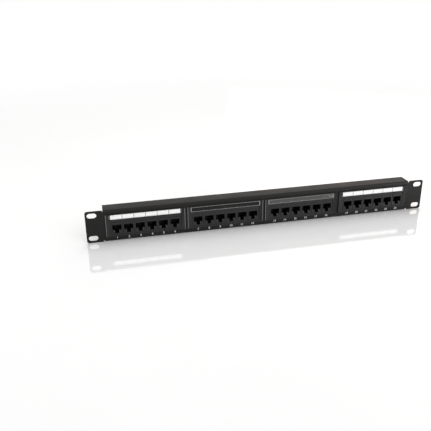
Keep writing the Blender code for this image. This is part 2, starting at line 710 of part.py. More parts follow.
def make_module(number, centre, datum, finishes):
    """All the pieces of one six-port module."""
    module = make_empty(f"module_{number}", (centre, 0.0, 0.0), datum)
    make_jack_housing(number, module, finishes["housing"])
    make_contact_set(number, module, finishes["contact"])
    make_label_cover(number, module, finishes["cover"])
    if number in PAPERED_MODULES:
        make_paper_label(number, module, finishes["paper"])
    make_circuit_board(number, module, finishes["board"])
    make_connector_block(f"connector_block_{number}_upper", BLOCK_HIGH, module, finishes["connector"])
    make_connector_block(f"connector_block_{number}_lower", BLOCK_LOW, module, finishes["connector"])
    make_wiring_label(number, module, finishes["paper"])
    make_module_screw(f"module_screw_{number}_left", -SCREW_OFFSET, module, finishes["screw"])
    make_module_screw(f"module_screw_{number}_right", SCREW_OFFSET, module, finishes["screw"])


def main():
    """Build the whole panel."""
    clear_scene()
    finishes = {
        "steel": make_material("black_steel", (0.022, 0.021, 0.021), 0.45, 0.3),
        "housing": make_material("black_moulding", (0.016, 0.016, 0.017), 0.40),
        "contact": make_material("gold_contact", (0.78, 0.58, 0.24), 0.30, 1.0),
        "cover": make_material("clear_cover", (0.62, 0.64, 0.66), 0.12, 0.0, 0.35),
        "paper": make_material("white_label", (0.83, 0.83, 0.84), 0.70),
        "board": make_material("black_board", (0.013, 0.013, 0.014), 0.55),
        "connector": make_material("cream_moulding", (0.80, 0.72, 0.58), 0.45),
        "screw": make_material("bright_screw", (0.62, 0.61, 0.59), 0.30, 1.0),
    }
    datum = make_empty("face_datum", (0.0, FACE_Y, 0.0))
    make_front_panel(datum, finishes["steel"])
    make_cable_bar(datum, finishes["steel"])
    for number, centre in enumerate(MODULE_CENTRES, start=1):
        make_module(number, centre, datum, finishes)


main()
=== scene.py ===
# %% [markdown]
# # Dressing a rack patch panel
# The imported model gives every solid of the panel in its place, at its real size, in metres. This lesson
# dresses it for a studio picture: finer shapes where the light needs them, a finish for every piece, a
# floor, lamps and a camera.

# %% Load the imported model
import math

import bmesh
import bpy
import numpy as np
from mathutils import Matrix, Vector


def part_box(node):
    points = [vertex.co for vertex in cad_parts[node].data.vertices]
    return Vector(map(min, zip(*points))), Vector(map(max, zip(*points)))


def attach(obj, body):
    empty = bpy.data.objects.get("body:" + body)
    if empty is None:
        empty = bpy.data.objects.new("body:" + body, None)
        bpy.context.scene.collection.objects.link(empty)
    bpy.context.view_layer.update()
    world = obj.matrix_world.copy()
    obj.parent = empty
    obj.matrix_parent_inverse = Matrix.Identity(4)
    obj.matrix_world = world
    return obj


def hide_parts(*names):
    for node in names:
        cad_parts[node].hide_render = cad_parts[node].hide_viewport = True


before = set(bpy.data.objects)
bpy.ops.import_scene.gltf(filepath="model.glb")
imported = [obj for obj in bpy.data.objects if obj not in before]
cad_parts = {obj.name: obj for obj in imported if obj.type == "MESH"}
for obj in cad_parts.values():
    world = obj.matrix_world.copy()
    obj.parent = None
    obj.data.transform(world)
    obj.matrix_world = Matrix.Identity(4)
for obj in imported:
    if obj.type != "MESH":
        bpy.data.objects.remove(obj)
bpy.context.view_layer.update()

print("solids:", len(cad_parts))

# %% [markdown]
# ## The panel's own measures
# The front face, the four modules and their six ports come back in every step, so their places are read
# from the solids once. What a solid's box can't tell, such as the step from port to port, is written in
# millimetres.

# %% Measures
MM = 0.001
MODULES = (1, 2, 3, 4)
PORTS = 6
PORT_PITCH = 15.4 * MM
PORT_OFFSETS = (np.arange(PORTS) - (PORTS - 1) / 2) * PORT_PITCH


def node_box(node):
    """Lowest and highest corner of a solid, as two arrays."""
    return tuple(np.array(corner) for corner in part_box(node))


PANEL_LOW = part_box("front_panel")[0]
FACE_Y = PANEL_LOW.y
MODULE_X = {number: sum(corner.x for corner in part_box(f"jack_housing_{number}")) / 2 for number in MODULES}
print("front face at y =", round(FACE_Y, 5), "modules at x =", [round(x, 5) for x in MODULE_X.values()])

# %% [markdown]
# ## Skins from rings
# Most new pieces here are rings of points: an outline carried along a path, or turned round an axis. All
# the points sit in one array, points[copy, ring, place], so a row of a hundred wires is one sum and not a
# loop. The faces follow from counting: each quad joins two places on two neighbouring rings, and the first
# and last ring are closed by a flat cap.


# %% Skins
def skin(points):
    """Vertices and faces of closed skins from points[copy, ring, place].

    A quad joins each place and the next on a ring to the same two on the next ring. The sum of a . (b x c)
    over three corners of every quad, measured from the middle of the first copy, has the sign of the volume
    inside. Where it is negative the quads look inwards, and every face is turned round.
    """
    copies, rings, places, _ = points.shape
    ring, place = np.meshgrid(np.arange(rings - 1), np.arange(places), indexing="ij")
    following = (place + 1) % places
    quads = np.stack((ring * places + place, ring * places + following,
                      (ring + 1) * places + following, (ring + 1) * places + place), -1).reshape(-1, 4)
    caps = np.stack((np.arange(places)[::-1], (rings - 1) * places + np.arange(places)))
    corners = points[0].reshape(-1, 3) - points[0].reshape(-1, 3).mean(0)
    a, b, c = (corners[quads[:, k]] for k in (0, 1, 2))
    if np.einsum("ij,ij->i", a, np.cross(b, c)).sum() < 0:
        quads, caps = quads[:, ::-1], caps[:, ::-1]
    shift = (np.arange(copies) * rings * places)[:, None, None]
    all_quads = (quads[None] + shift).reshape(-1, 4)
    all_caps = (caps[None] + shift).reshape(-1, places)
    return points.reshape(-1, 3), all_quads.tolist() + all_caps.tolist()


def join(*skins):
    """One list of vertices and faces from several, with the face numbers moved on."""
    vertices, faces, count = [], [], 0
    for points, polygons in skins:
        vertices.append(points)
        faces += [[index + count for index in polygon] for polygon in polygons]
        count += len(points)
    return np.concatenate(vertices), faces


print("skin helpers are ready")

# %% [markdown]
# ### From a skin to a piece
# A skin becomes a mesh object at the origin, so its points are already in the panel's own frame. Points that
# fall together are welded, and faces are shaded smooth unless they meet at more than the crease angle.

# %% Pieces
WELD = 0.000001


def add_piece(name, shape, finish, body="panel", stands_for=(), crease=40.0):
    """A finished mesh object, welded, smooth up to the crease angle, that rides on a body."""
    vertices, faces = shape
    mesh = bpy.data.meshes.new(name)
    mesh.from_pydata(np.asarray(vertices).tolist(), [], faces)
    bm = bmesh.new()
    bm.from_mesh(mesh)
    bmesh.ops.remove_doubles(bm, verts=bm.verts, dist=WELD)
    bm.to_mesh(mesh)
    bm.free()
    mesh.materials.append(finish)
    mesh.shade_smooth()
    mesh.set_sharp_from_angle(angle=math.radians(crease))
    piece = bpy.data.objects.new(name, mesh)
    bpy.context.scene.collection.objects.link(piece)
    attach(piece, body)
    if stands_for:
        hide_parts(*stands_for)
    return piece


print("pieces weld points closer than", WELD, "m")

# %% [markdown]
# ### Rounded slabs
# Labels, covers, clips and print are all flat pieces with round corners. A cube with a Bevel would do for
# one of them. Here one function works out a whole row at once, with the corners and the edges as separate
# radii.


# %% Rounded slabs
def rounded_slabs(low, high, corner, edge, corner_steps=4, edge_steps=3):
    """Slabs with round corners and eased edges, one for each row of low and high.

    In x and z the outline is a rectangle whose corners are quarter circles. It is carried through y, and
    near both faces it is drawn in by edge * (1 - sin t) while y moves on by edge * (1 - cos t), which is a
    quarter circle again.
    """
    low, high = np.atleast_2d(low).astype(float), np.atleast_2d(high).astype(float)
    middle, half = (low + high) / 2, (high - low) / 2
    turn = np.linspace(0, np.pi / 2, edge_steps + 1)
    inset = edge * (1 - np.sin(turn))
    rise = edge * (1 - np.cos(turn))
    drawn_in = np.concatenate((inset, inset[::-1]))
    depth = np.concatenate((low[:, 1:2] + rise, high[:, 1:2] - rise[::-1]), 1)
    quarter = np.linspace(0, np.pi / 2, corner_steps + 1)
    angle = (np.arange(4)[:, None] * np.pi / 2 + quarter).ravel()
    side_x = np.repeat([1, -1, -1, 1], corner_steps + 1)
    side_z = np.repeat([1, 1, -1, -1], corner_steps + 1)
    radius = np.maximum(corner - drawn_in, WELD)[:, None]
    reach = (half[:, None, None, :] - drawn_in[None, :, None, None]) - radius[None, :, :, None]
    x = middle[:, None, None, 0] + side_x * reach[..., 0] + radius * np.cos(angle)
    z = middle[:, None, None, 2] + side_z * reach[..., 2] + radius * np.sin(angle)
    y = np.broadcast_to(depth[:, :, None], x.shape)
    return np.stack((x, y, z), -1)


print("slab helper is ready")

# %% [markdown]
# ## Finishes
# Every finish is a Principled shader whose colour, gloss and relief come from noise on Object coordinates,
# which are the model's own metres, so a grain of 0.4 mm is a noise scale of 2500. A value that is the same
# all over is set on the shader's socket itself.


# %% Start of a finish
def start_finish(name, sockets):
    """A new node material with plain values on its Principled shader."""
    material = bpy.data.materials.new(name)
    material.use_nodes = True
    shader = material.node_tree.nodes["Principled BSDF"]
    for socket, value in sockets.items():
        shader.inputs[socket].default_value = value
    return material, shader


def grain(material, scale, detail, stretch=(1.0, 1.0, 1.0)):
    """Noise on Object coordinates, stretched along the axes where a surface has a direction."""
    nodes, links = material.node_tree.nodes, material.node_tree.links
    place = nodes.new("ShaderNodeTexCoord")
    mapping = nodes.new("ShaderNodeMapping")
    mapping.inputs["Scale"].default_value = stretch
    noise = nodes.new("ShaderNodeTexNoise")
    noise.inputs["Scale"].default_value = scale
    noise.inputs["Detail"].default_value = detail
    links.new(place.outputs["Object"], mapping.inputs["Vector"])
    links.new(mapping.outputs["Vector"], noise.inputs["Vector"])
    return noise.outputs["Fac"]


print("finishes start from a Principled shader")

# %% [markdown]
# ### What a noise can do
# A noise mostly stays between 0.3 and 0.7. That range is spread over two colours, over two values of a
# socket, or over a height that bends the light as a real unevenness would.

# %% Colour, gloss and relief
NOISE_LOW, NOISE_HIGH = 0.3, 0.7


def tint(material, shader, source, dark, light):
    """Let a noise choose the base colour between two shades."""
    ramp = material.node_tree.nodes.new("ShaderNodeValToRGB")
    for stop, place, colour in zip(ramp.color_ramp.elements, (NOISE_LOW, NOISE_HIGH), (dark, light)):
        stop.position = place
        stop.color = (*colour, 1.0)
    material.node_tree.links.new(source, ramp.inputs["Fac"])
    material.node_tree.links.new(ramp.outputs["Color"], shader.inputs["Base Color"])


def vary(material, shader, source, socket, low, high):
    """Let a noise move one value of the shader between two limits."""
    spread = material.node_tree.nodes.new("ShaderNodeMapRange")
    spread.inputs["From Min"].default_value = NOISE_LOW
    spread.inputs["From Max"].default_value = NOISE_HIGH
    spread.inputs["To Min"].default_value = low
    spread.inputs["To Max"].default_value = high
    material.node_tree.links.new(source, spread.inputs["Value"])
    material.node_tree.links.new(spread.outputs["Result"], shader.inputs[socket])


def relief(material, shader, source, height, strength):
    """Let a noise raise the surface by a height in metres."""
    bump = material.node_tree.nodes.new("ShaderNodeBump")
    bump.inputs["Distance"].default_value = height
    bump.inputs["Strength"].default_value = strength
    material.node_tree.links.new(source, bump.inputs["Height"])
    material.node_tree.links.new(bump.outputs["Normal"], shader.inputs["Normal"])


print("noise is used from", NOISE_LOW, "to", NOISE_HIGH)

# %% [markdown]
# ### Black powder coat
# The sheet steel wears a satin black powder coat. Powder melts into a skin with a slight orange peel, so the
# finish has a fine relief, a gloss that wanders a little, and a faint warm cast in its colour.


# %% Powder coat
def powder_coat():
    """Satin black paint on steel: fine orange peel over slow changes of gloss."""
    material, shader = start_finish("black_powder_coat", {"Specular IOR Level": 0.23})
    slow = grain(material, 45.0, 4.0)
    fine = grain(material, 1900.0, 2.0)
    tint(material, shader, slow, (0.0058, 0.0052, 0.0048), (0.0085, 0.0077, 0.0071))
    vary(material, shader, slow, "Roughness", 0.46, 0.56)
    relief(material, shader, fine, 0.05 * MM, 0.35)
    return material


POWDER_COAT = powder_coat()
print("finish:", POWDER_COAT.name)

# %% [markdown]
# ### Moulded plastics
# The housings are black, the connector blocks cream, and both have the even grain of an etched mould. Cream
# plastic lets a little light in, so it gets a small share of subsurface. On the lead-in ramps and pads of the
# sockets the black plastic is painted lighter, a painted highlight. A number stored on the mesh says where,
# so no second finish is needed.


# %% Moulded finishes
def spark_texture(name, dark, light, sockets):
    """Moulded plastic with the even, matt grain that an etched mould leaves."""
    material, shader = start_finish(name, sockets)
    slow = grain(material, 70.0, 3.0)
    fine = grain(material, 4200.0, 2.0)
    tint(material, shader, slow, dark, light)
    vary(material, shader, slow, "Roughness", 0.36, 0.46)
    relief(material, shader, fine, 0.03 * MM, 0.4)
    return material


def paint_highlight_where_marked(material, mark, colour):
    """Paint a lighter base colour, a painted highlight, where a number stored on the mesh says so."""
    nodes, links = material.node_tree.nodes, material.node_tree.links
    base = nodes["Principled BSDF"].inputs["Base Color"]
    stored = nodes.new("ShaderNodeAttribute")
    stored.attribute_name = mark
    mix = nodes.new("ShaderNodeMixRGB")
    mix.inputs["Color2"].default_value = (*colour, 1.0)
    links.new(base.links[0].from_socket, mix.inputs["Color1"])
    links.new(stored.outputs["Fac"], mix.inputs["Fac"])
    links.new(mix.outputs["Color"], base)


BLACK_MOULDING = spark_texture("black_moulding", (0.0048, 0.0054, 0.0050), (0.0072, 0.0080, 0.0075),
                               {"Specular IOR Level": 0.25})
# The pads and ramps get a lighter grey: a painted highlight where they catch light.
paint_highlight_where_marked(BLACK_MOULDING, "pad", (0.060, 0.060, 0.060))
# The lighter grey of the left bezel beads is a painted highlight.
BEAD_PAINTED_HIGHLIGHT = spark_texture("bead_painted_highlight", (0.10, 0.10, 0.10), (0.15, 0.15, 0.15), {})
CREAM_MOULDING = spark_texture("cream_moulding", (0.85, 0.75, 0.62), (0.92, 0.84, 0.72),
                               {"Subsurface Weight": 0.08, "Subsurface Scale": 0.6 * MM})
print("finishes:", BLACK_MOULDING.name, BEAD_PAINTED_HIGHLIGHT.name, CREAM_MOULDING.name)

# %% [markdown]
# ### Plated metal
# Contacts are plated with gold and screws with bright zinc. Plating copies the drawn or turned metal under
# it, so a noise that is stretched along one axis gives it fine lines. Zinc on a turned head has none, and
# keeps a plain noise.


# %% Metal finishes
def bare_metal(name, dark, light, low, high, stretch):
    """Plated metal with fine lines in its colour and gloss."""
    material, shader = start_finish(name, {"Metallic": 1.0})
    lines = grain(material, 900.0, 3.0, stretch)
    tint(material, shader, lines, dark, light)
    vary(material, shader, lines, "Roughness", low, high)
    relief(material, shader, lines, 0.01 * MM, 0.3)
    return material


GOLD = bare_metal("gold_plate", (0.74, 0.53, 0.20), (0.84, 0.65, 0.30), 0.22, 0.34, (1.0, 0.1, 1.0))
ZINC = bare_metal("bright_zinc", (0.36, 0.35, 0.34), (0.50, 0.49, 0.47), 0.24, 0.38, (1.0, 1.0, 1.0))
print("finishes:", GOLD.name, ZINC.name)

# %% [markdown]
# ### Paper and ink
# Labels are white paper with a faint fibre. Printed ink takes its colour from an attribute on its own mesh,
# so one finish serves every patch, and a noise mottles it as ink on stock is.


# %% Paper and ink finishes
def label_paper():
    """White label stock: faint fibres and a soft, uneven gloss."""
    material, shader = start_finish("label_paper", {"Specular IOR Level": 0.35})
    fibre = grain(material, 1600.0, 4.0, (0.35, 1.0, 1.0))
    tint(material, shader, fibre, (0.92, 0.92, 0.915), (0.95, 0.95, 0.945))
    vary(material, shader, fibre, "Roughness", 0.45, 0.60)
    relief(material, shader, fibre, 0.01 * MM, 0.3)
    return material


def printed_ink():
    """Print whose colour is stored on the mesh, made a little darker and lighter by a noise."""
    material, shader = start_finish("printed_ink", {"Specular IOR Level": 0.4})
    nodes, links = material.node_tree.nodes, material.node_tree.links
    stored = nodes.new("ShaderNodeAttribute")
    stored.attribute_name = "ink"
    mottle = grain(material, 1300.0, 3.0)
    shade = nodes.new("ShaderNodeHueSaturation")
    links.new(stored.outputs["Color"], shade.inputs["Color"])
    links.new(shade.outputs["Color"], shader.inputs["Base Color"])
    lift = nodes.new("ShaderNodeMapRange")
    lift.inputs["To Min"].default_value = 0.88
    lift.inputs["To Max"].default_value = 1.08
    links.new(mottle, lift.inputs["Value"])
    links.new(lift.outputs["Result"], shade.inputs["Value"])
    vary(material, shader, mottle, "Roughness", 0.42, 0.58)
    return material


PAPER = label_paper()
INK = printed_ink()
print("finishes:", PAPER.name, INK.name)

# %% [markdown]
# ### Clear plastic and board lacquer
# A clear cover is a thin film, so it needs no glass: alpha says what share of the light it stops. Over paper
# it stops almost nothing. Over the two empty holders it looks dark, one smoked and one hazed, and there the
# film is nearly closed. The boards behind have a black lacquer over faint ridges of copper.


# %% Clear and lacquer finishes
def clear_plastic(name, colour, cover, gloss=0.5):
    """Thin acrylic: a film that covers what lies behind it by a share, with slow changes of gloss."""
    material, shader = start_finish(name, {"IOR": 1.49, "Alpha": cover, "Specular IOR Level": gloss})
    wear = grain(material, 160.0, 2.0)
    tint(material, shader, wear, [0.9 * part for part in colour], colour)
    vary(material, shader, wear, "Roughness", 0.06, 0.12)
    return material


def solder_mask():
    """Black board lacquer: smoother than the plastic, with the ridges of the tracks below it."""
    material, shader = start_finish("black_solder_mask", {"Specular IOR Level": 0.22})
    slow = grain(material, 60.0, 3.0)
    tracks = grain(material, 420.0, 1.0, (0.12, 1.0, 1.0))
    tint(material, shader, slow, (0.0060, 0.0062, 0.0060), (0.0095, 0.0098, 0.0095))
    vary(material, shader, slow, "Roughness", 0.30, 0.40)
    relief(material, shader, tracks, 0.04 * MM, 0.4)
    return material


CLEAR = clear_plastic("clear_cover", (0.90, 0.90, 0.90), 0.03)
SMOKED = clear_plastic("smoked_cover", (0.002, 0.002, 0.002), 0.95, 0.27)
HAZED = clear_plastic("hazed_cover", (0.060, 0.060, 0.058), 0.95)
# Over the empty holders the rims are an opaque light grey, a painted highlight round the dark windows.
RIM_PAINTED_HIGHLIGHT = clear_plastic("rim_painted_highlight", (0.27, 0.27, 0.265), 1.0)
BOARD = solder_mask()
print("finishes:", CLEAR.name, SMOKED.name, HAZED.name, RIM_PAINTED_HIGHLIGHT.name, BOARD.name)

# %% [markdown]
# ## Camera
# The photograph's camera was worked out from the panel's corners, slots and numbers: a plain pinhole whose
# place is measured from the bottom middle of the front face. Its right, up and back directions come from an
# azimuth, an elevation and a small roll.

# %% Camera
FRAME_PIXELS = 431
FOCAL_PIXELS = 587.0
SENSOR = 36.0
EYE = Vector((-0.23414, -0.71323, 0.33457))
AZIMUTH, ELEVATION, ROLL = (math.radians(angle) for angle in (-13.07, 23.17, -0.63))


def look(azimuth, elevation, roll):
    """Columns right, up and back of a camera.

    Back points from the object to the eye, right is square to it and level, up is square to both, and the
    roll turns right and up about back.
    """
    back = Vector((math.sin(azimuth) * math.cos(elevation), -math.cos(azimuth) * math.cos(elevation),
                   math.sin(elevation)))
    right = (-back).cross(Vector((0, 0, 1))).normalized()
    up = right.cross(-back)
    turned_right = right * math.cos(roll) + up * math.sin(roll)
    turned_up = up * math.cos(roll) - right * math.sin(roll)
    return Matrix((turned_right, turned_up, back)).transposed()


camera_data = bpy.data.cameras.new("studio_camera")
camera_data.sensor_width = SENSOR
camera_data.lens = FOCAL_PIXELS / FRAME_PIXELS * SENSOR
camera = bpy.data.objects.new("studio_camera", camera_data)
camera.matrix_world = (Matrix.Translation(EYE + Vector((0, FACE_Y, 0)))
                       @ look(AZIMUTH, ELEVATION, ROLL).to_4x4())
bpy.context.scene.collection.objects.link(camera)
bpy.context.scene.camera = camera
bpy.context.scene.view_settings.view_transform = "Standard"
print("lens:", round(camera_data.lens, 2), "mm")

# %% [markdown]
# ## Floor
# The panel stands on a pale, slightly polished floor that mirrors it faintly. A backdrop with a bend would
# serve one side only and hide the panel from the other. Here the floor is one flat sheet that fades into the
# white room with the distance, so it shows no edge from any side.

# %% Floor
FLOOR_HALF = 2.0
FLOOR_DROP = 0.05 * MM
FADE_START, FADE_END = 0.35, 1.3
FLOOR_IOR = 2.4


def fade_out(material, shader):
    """Let the floor fade into the white room with the distance from its middle."""
    nodes, links = material.node_tree.nodes, material.node_tree.links
    place = nodes.new("ShaderNodeTexCoord")
    distance = nodes.new("ShaderNodeVectorMath")
    distance.operation = "LENGTH"
    links.new(place.outputs["Object"], distance.inputs[0])
    fade = nodes.new("ShaderNodeMapRange")
    fade.interpolation_type = "SMOOTHSTEP"
    fade.inputs["From Min"].default_value = FADE_START
    fade.inputs["From Max"].default_value = FADE_END
    fade.inputs["To Min"].default_value = 1.0
    fade.inputs["To Max"].default_value = 0.0
    links.new(distance.outputs["Value"], fade.inputs["Value"])
    links.new(fade.outputs["Result"], shader.inputs["Alpha"])


def studio_floor():
    """A wide plane just under the panel, pale and faintly polished."""
    corners = np.array([(-1, -1), (1, -1), (1, 1), (-1, 1)]) * FLOOR_HALF
    mesh = bpy.data.meshes.new("studio_floor")
    mesh.from_pydata([(x, y, PANEL_LOW.z - FLOOR_DROP) for x, y in corners], [], [(0, 1, 2, 3)])
    material, shader = start_finish("studio_floor", {"IOR": FLOOR_IOR})
    slow = grain(material, 3.0, 2.0)
    tint(material, shader, slow, (0.96, 0.96, 0.96), (0.98, 0.98, 0.98))
    vary(material, shader, slow, "Roughness", 0.07, 0.09)
    fade_out(material, shader)
    mesh.materials.append(material)
    floor = bpy.data.objects.new("studio_floor", mesh)
    bpy.context.scene.collection.objects.link(floor)


studio_floor()
print("floor:", 2 * FLOOR_HALF, "m wide")

# %% [markdown]
# ## Light
# Black paint shows what it mirrors more than what falls on it, so the room is white all round and only five
# soft boxes shape the light. One overhead lights the floor and the flange, and polished surfaces don't
# mirror it. One in front lights the labels. A small one at each side draws out the ends, stronger at the
# right. A large warm one behind gives the top flange its sheen.

# %% Lamps and room
ROOM_FILL = 0.6


def soft_box(name, place, target, size, power, colour=(1.0, 1.0, 1.0), mirrored=True):
    """A square area lamp turned to its target, which polished surfaces may mirror or not."""
    data = bpy.data.lights.new(name, "AREA")
    data.color = colour
    data.size = size
    data.energy = power
    lamp = bpy.data.objects.new(name, data)
    lamp.location = place
    lamp.visible_glossy = mirrored
    lamp.rotation_euler = (Vector(target) - Vector(place)).to_track_quat("-Z", "Y").to_euler()
    bpy.context.scene.collection.objects.link(lamp)


def white_room(fill):
    """A white world: full white where the camera, gloss or clear plastic sees it, dimmer as a lamp."""
    world = bpy.data.worlds.new("white_room")
    world.use_nodes = True
    bpy.context.scene.world = world
    nodes, links = world.node_tree.nodes, world.node_tree.links
    path = nodes.new("ShaderNodeLightPath")
    seen = nodes.new("ShaderNodeMath")
    seen.operation = "MAXIMUM"
    links.new(path.outputs["Is Camera Ray"], seen.inputs[0])
    links.new(path.outputs["Is Glossy Ray"], seen.inputs[1])
    also = nodes.new("ShaderNodeMath")
    also.operation = "MAXIMUM"
    links.new(seen.outputs["Value"], also.inputs[0])
    links.new(path.outputs["Is Transmission Ray"], also.inputs[1])
    strength = nodes.new("ShaderNodeMapRange")
    strength.inputs["To Min"].default_value = fill
    strength.inputs["To Max"].default_value = 1.0
    links.new(also.outputs["Value"], strength.inputs["Value"])
    background = nodes["Background"]
    background.inputs["Color"].default_value = (1.0, 1.0, 1.0, 1.0)
    links.new(strength.outputs["Result"], background.inputs["Strength"])


white_room(ROOM_FILL)
soft_box("top_box", (0.0, 0.35, 1.2), (0.0, 0.0, 0.0), 1.0, 5.7, mirrored=False)
soft_box("front_box", (0.5, -1.3, 1.1), (0.0, 0.0, 0.02), 0.9, 4.4)
soft_box("left_box", (-1.1, -0.22, 0.18), (0.0, -0.04, 0.02), 0.4, 2.5)
soft_box("right_box", (0.86, -0.95, 0.16), (0.24, -0.04, 0.02), 0.3, 4.2)
soft_box("rear_box", (0.85, 1.4, 0.75), (0.0, 0.0, 0.04), 1.2, 2.8, (1.0, 0.80, 0.68))
print("lamps:", len(bpy.data.lights))

# %% [markdown]
# ## Folded steel and moulded housings
# The solids of the panel, the cable bar and the jack housings have the right shape, but a solid's edges are
# knife sharp and catch no light. A copy of each is welded, its flat triangles are joined into whole faces,
# and a narrow Bevel eases every sharp edge, as paint and moulds do.

# %% Eased copies of solids
FLAT = math.radians(0.5)
SHARP = math.radians(25.0)
STEEL_EDGE, MOULDED_EDGE = 0.25 * MM, 0.12 * MM


def eased_copy(node, finish, width, body="panel"):
    """A copy of a solid whose sharp edges are eased by a bevel of the given width."""
    bm = bmesh.new()
    bm.from_mesh(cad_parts[node].data)
    bmesh.ops.remove_doubles(bm, verts=bm.verts, dist=WELD)
    bmesh.ops.dissolve_limit(bm, angle_limit=FLAT, verts=bm.verts, edges=bm.edges)
    mesh = bpy.data.meshes.new(f"{node}_shell")
    bm.to_mesh(mesh)
    bm.free()
    if "custom_normal" in mesh.attributes:
        mesh.attributes.remove(mesh.attributes["custom_normal"])
    mesh.materials.clear()
    mesh.materials.append(finish)
    mesh.shade_smooth()
    mesh.set_sharp_from_angle(angle=SHARP)
    piece = bpy.data.objects.new(f"{node}_shell", mesh)
    bpy.context.scene.collection.objects.link(piece)
    bevel = piece.modifiers.new("eased_edges", "BEVEL")
    bevel.width = width
    bevel.segments = 2
    bevel.limit_method = "ANGLE"
    bevel.angle_limit = SHARP
    bevel.harden_normals = True
    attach(piece, body)
    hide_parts(node)
    return piece


eased_copy("front_panel", POWDER_COAT, STEEL_EDGE)
eased_copy("cable_bar", POWDER_COAT, STEEL_EDGE, "bar")
housings = {number: eased_copy(f"jack_housing_{number}", BLACK_MOULDING, MOULDED_EDGE)
            for number in MODULES}
print("eased copies:", 2 + len(housings))

# %% [markdown]
# ### Pads and lead-in ramps
# Each socket sits in a raised pad, and two small ramps beside its latch guide the plug. Both catch more light
# than the bezel round them, and that light is painted into the black plastic as a lighter grey. They are
# faces of the housing itself, so they aren't pieces of their own: a number on each face tells the black
# plastic how much painted highlight it gets there.

# %% Marked pads
PAD_HALF = 7.1 * MM
PAD_BOTTOM, PAD_TOP = 9.5 * MM, 26.1 * MM
WELL_REACH, RAMP_DEPTH = 0.75 * MM, 2.2 * MM
SHOULDER = 15.0 * MM
LEANING, FACING = 0.2, 0.9
# Share of the painted highlight that the pads and their well get.
PAD_HIGHLIGHT_SHARE = 0.2


def mark_painted_highlight(piece, centre):
    """Store how much painted highlight each face gets: pad = 1 on the lead-in ramps, a share on the pads and
    their well, 0 elsewhere.

    A face belongs to a port where its middle is nearer to the port's middle than half a pad's width. It is
    pad or well where it looks forward, within the row of ports and the pads' height, on the front plane or
    on the well's floor. It is ramp where it belongs to a port, is just behind the front plane, below the
    socket's shoulder, and looks both up and forward.
    """
    middles, normals = np.empty((2, len(piece.data.polygons) * 3))
    piece.data.polygons.foreach_get("center", middles)
    piece.data.polygons.foreach_get("normal", normals)
    x, y, z = middles.reshape(-1, 3).T
    forward, up = -normals.reshape(-1, 3)[:, 1], normals.reshape(-1, 3)[:, 2]
    depth = y - y.min()
    at_port = abs((x - centre)[:, None] - PORT_OFFSETS).min(1) < PAD_HALF
    in_row = (abs(x - centre) < PORTS * PORT_PITCH / 2) & (z > PAD_BOTTOM) & (z < PAD_TOP)
    on_pad = in_row & (depth < WELL_REACH) & (forward > FACING)
    on_ramp = at_port & (z < SHOULDER) & (depth < RAMP_DEPTH) & (forward > LEANING) & (up > LEANING)
    layer = piece.data.attributes.new("pad", "FLOAT", "FACE")
    layer.data.foreach_set("value", np.where(on_ramp, 1.0, np.where(on_pad, PAD_HIGHLIGHT_SHARE, 0.0)))
    return on_ramp.sum()


ramp_faces = [mark_painted_highlight(housing, MODULE_X[number]) for number, housing in housings.items()]
print("ramp faces in each housing:", ramp_faces)

# %% [markdown]
# ## Bezel ends with a painted highlight
# Where two bezels meet, their upright ends draw a thin light line down the panel. A line of paint would lie
# flat, so each is a low bead with round edges along the end of a bezel. Towards the left the beads are
# painted a lighter grey, a painted highlight, and further right they stay black.

# %% Bezel beads
BEZEL_HALF = 52.7 * MM
BEZEL_BOTTOM, BEZEL_TOP = 6.4 * MM, 38.0 * MM
BEAD_WIDTH, BEAD_RISE, BEAD_INSET, BEAD_CORNER = 0.8 * MM, 0.10 * MM, 0.5 * MM, 0.3 * MM
BEAD_HIGHLIGHT_UP_TO = 50.0 * MM
BEZEL_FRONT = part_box("jack_housing_1")[0].y
ENDS = {"left": -BEZEL_HALF, "right": BEZEL_HALF - BEAD_WIDTH}
# Beads towards the left get the lighter grey, a painted highlight; those further right stay black.
for number in MODULES:
    for end, offset in ENDS.items():
        start = MODULE_X[number] + offset
        bottom = (start, BEZEL_FRONT - BEAD_RISE, BEZEL_BOTTOM + BEAD_INSET)
        top = (start + BEAD_WIDTH, BEZEL_FRONT + BEAD_RISE, BEZEL_TOP - BEAD_INSET)
        add_piece(f"bezel_bead_{number}_{end}", skin(rounded_slabs(bottom, top, BEAD_CORNER, BEAD_RISE)),
                  BEAD_PAINTED_HIGHLIGHT if start < BEAD_HIGHLIGHT_UP_TO else BLACK_MOULDING)
print("bezel beads:", len(ENDS) * len(MODULES))

# %% [markdown]
# ## Port numbers
# Plain numbers are screen printed under the sockets. Text is the quick way to get good figures: each number
# is made a thin mesh, laid on the face and merged into one piece.

# %% Port numbers
NUMBER_HEIGHT = 4.0 * MM
NUMBER_SIZE = 4.2 * MM
FIGURE_STEPS = 4
PRINT_THICK = 0.03 * MM
PRINT_WHITE = (0.84, 0.84, 0.83)


def figures(text, size, thick):
    """Vertices and faces of a number, lying in x and z and facing -y.

    The text's right, up and out become x, z and -y, which is a quarter turn about x.
    """
    curve = bpy.data.curves.new("figures", "FONT")
    curve.body = text
    curve.size = size
    curve.align_x = "CENTER"
    curve.align_y = "CENTER"
    curve.extrude = thick / 2
    curve.resolution_u = FIGURE_STEPS
    holder = bpy.data.objects.new("figures", curve)
    bpy.context.scene.collection.objects.link(holder)
    evaluated = holder.evaluated_get(bpy.context.evaluated_depsgraph_get())
    mesh = bpy.data.meshes.new_from_object(evaluated)
    flat = np.empty(len(mesh.vertices) * 3)
    mesh.vertices.foreach_get("co", flat)
    points = flat.reshape(-1, 3)
    faces = [list(face.vertices) for face in mesh.polygons]
    bpy.data.objects.remove(holder)
    bpy.data.curves.remove(curve)
    bpy.data.meshes.remove(mesh)
    return np.stack((points[:, 0], -points[:, 2], points[:, 1]), -1), faces


